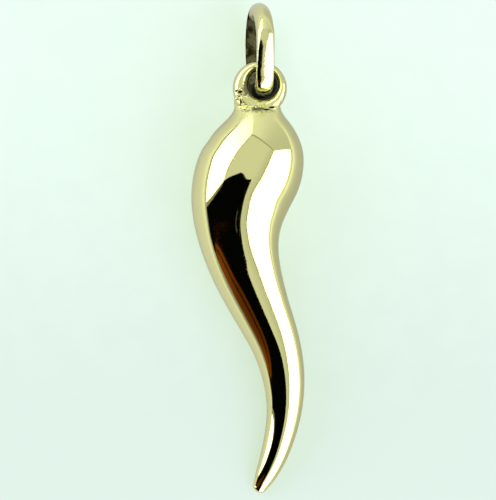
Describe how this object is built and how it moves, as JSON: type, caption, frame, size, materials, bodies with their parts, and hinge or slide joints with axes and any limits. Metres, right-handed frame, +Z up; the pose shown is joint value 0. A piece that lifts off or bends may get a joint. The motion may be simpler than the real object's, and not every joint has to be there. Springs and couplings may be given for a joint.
{
  "type": "horn pendant",
  "caption": "Solid S-curved horn charm with a soldered eye at its head and a heavy round bail ring through the eye.",
  "frame": {"origin": "centre of the bounding box's bottom face, on the surface that the pendant lies on", "axes": "+Z up from the surface, +Y along the pendant from the horn's tip to its bail ring, +X to the right seen from above"},
  "size_m": [0.0084, 0.0362, 0.0071],
  "materials": {
    "horn_gold": "mirror-polished pale yellow gold with fine wear",
    "bail_gold": "polished pale yellow gold, slightly duller than the horn"
  },
  "bodies": {
    "root": {"horn": "horn_gold", "bail_ring": "bail_gold"}
  },
  "joints": []
}
